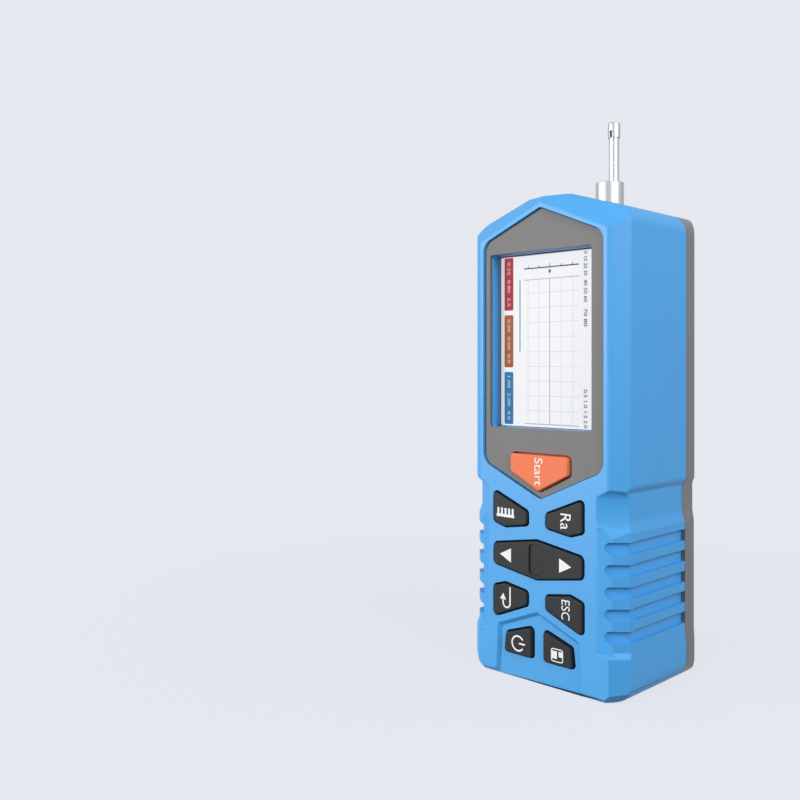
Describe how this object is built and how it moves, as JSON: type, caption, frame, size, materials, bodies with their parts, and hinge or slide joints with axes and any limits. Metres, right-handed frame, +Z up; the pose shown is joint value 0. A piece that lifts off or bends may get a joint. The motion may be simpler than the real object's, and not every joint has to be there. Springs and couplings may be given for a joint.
{
  "type": "handheld surface roughness tester",
  "caption": "Upright handheld surface roughness tester with a display, key field, grooved grip and a steel pickup that slides out of its gabled top.",
  "frame": {"origin": "middle of the footprint on the floor, keys included", "axes": "+X to the right seen from the front, +Y from the display to the back cover, +Z up to the pickup"},
  "size_m": [0.055, 0.0434, 0.1703],
  "materials": {
    "case_blue": "fine moulded grain",
    "cover_grey": "fine moulded grain",
    "panel_grey": "satin",
    "lens": "clear",
    "display": "smooth",
    "start_orange": "satin",
    "key_black": "satin",
    "steel": "polished",
    "board_green": "solder mask",
    "black_plastic": "moulded",
    "battery_wrap": "film",
    "frame_aluminium": "machined",
    "bearing_brass": "turned",
    "ring_rubber": "matt",
    "coil_copper": "wound wire"
  },
  "bodies": {
    "case": {"front_housing": "case_blue", "rear_cover": "cover_grey", "front_panel": "panel_grey", "display_lens": "lens", "display_module": "display", "rocker_pin": "steel", "main_board": "board_green", "key_switches": "black_plastic", "board_screws": "steel", "battery_pack": "battery_wrap", "usb_socket": "steel", "buzzer": "black_plastic", "drive_frame": "frame_aluminium", "frame_screws": "steel", "drive_motor": "steel", "motor_screws": "steel", "screw_bushes": "bearing_brass", "guide_rods": "steel", "limit_switches": "black_plastic", "dust_ring": "ring_rubber", "case_screws": "steel"},
    "start_button": {"start_button": "start_orange"},
    "ruler_key": {"ruler_key": "key_black"},
    "parameter_key": {"parameter_key": "key_black"},
    "enter_key": {"enter_key": "key_black"},
    "escape_key": {"escape_key": "key_black"},
    "power_key": {"power_key": "key_black"},
    "save_key": {"save_key": "key_black"},
    "arrow_rocker": {"arrow_rocker": "key_black"},
    "traverse": {"carriage": "black_plastic", "lead_nut": "bearing_brass", "pickup_socket": "black_plastic", "pickup_plug": "black_plastic", "pickup_body": "steel", "pickup_tube": "steel", "skid_head": "steel", "pivot_yoke": "steel", "pivot_pin": "steel", "sensor_coils": "coil_copper"},
    "spindle": {"lead_screw": "steel", "shaft_coupling": "frame_aluminium", "motor_shaft": "steel"},
    "stylus": {"stylus_arm": "steel", "stylus_tip": "steel", "sensor_core": "black_plastic"}
  },
  "joints": [
    {"name": "start_press", "type": "slide", "parent": "case", "child": "start_button", "axis": [0, 1, 0], "range_m": [0, 0.0008], "stiffness_N_per_m": 400, "springref_m": -0.001},
    {"name": "ruler_press", "type": "slide", "parent": "case", "child": "ruler_key", "axis": [0, 1, 0], "range_m": [0, 0.0008], "stiffness_N_per_m": 400, "springref_m": -0.001},
    {"name": "parameter_press", "type": "slide", "parent": "case", "child": "parameter_key", "axis": [0, 1, 0], "range_m": [0, 0.0008], "stiffness_N_per_m": 400, "springref_m": -0.001},
    {"name": "enter_press", "type": "slide", "parent": "case", "child": "enter_key", "axis": [0, 1, 0], "range_m": [0, 0.0008], "stiffness_N_per_m": 400, "springref_m": -0.001},
    {"name": "escape_press", "type": "slide", "parent": "case", "child": "escape_key", "axis": [0, 1, 0], "range_m": [0, 0.0008], "stiffness_N_per_m": 400, "springref_m": -0.001},
    {"name": "power_press", "type": "slide", "parent": "case", "child": "power_key", "axis": [0, 1, 0], "range_m": [0, 0.0008], "stiffness_N_per_m": 400, "springref_m": -0.001},
    {"name": "save_press", "type": "slide", "parent": "case", "child": "save_key", "axis": [0, 1, 0], "range_m": [0, 0.0008], "stiffness_N_per_m": 400, "springref_m": -0.001},
    {"name": "rocker_tilt", "type": "hinge", "parent": "case", "child": "arrow_rocker", "pos_m": [-0.001, -0.01655, 0.0362], "axis": [0, 0, 1], "range_deg": [-2.5, 2.5], "stiffness_Nm_per_rad": 0.05},
    {"name": "pickup_traverse", "type": "slide", "parent": "case", "child": "traverse", "axis": [0, 0, -1], "range_m": [0, 0.0175]},
    {"name": "screw_turn", "type": "hinge", "parent": "case", "child": "spindle", "pos_m": [0, 0.00085, 0.09], "axis": [0, 0, 1], "range_deg": [0, 1262]},
    {"name": "stylus_swing", "type": "hinge", "parent": "traverse", "child": "stylus", "pos_m": [0, 0.01845, 0.143], "axis": [1, 0, 0], "range_deg": [-0.4, 0.4], "stiffness_Nm_per_rad": 0.003}
  ],
  "couplings": [
    {"joint": "screw_turn", "follows": "pickup_traverse", "rad_per_m": 1256.6}
  ]
}
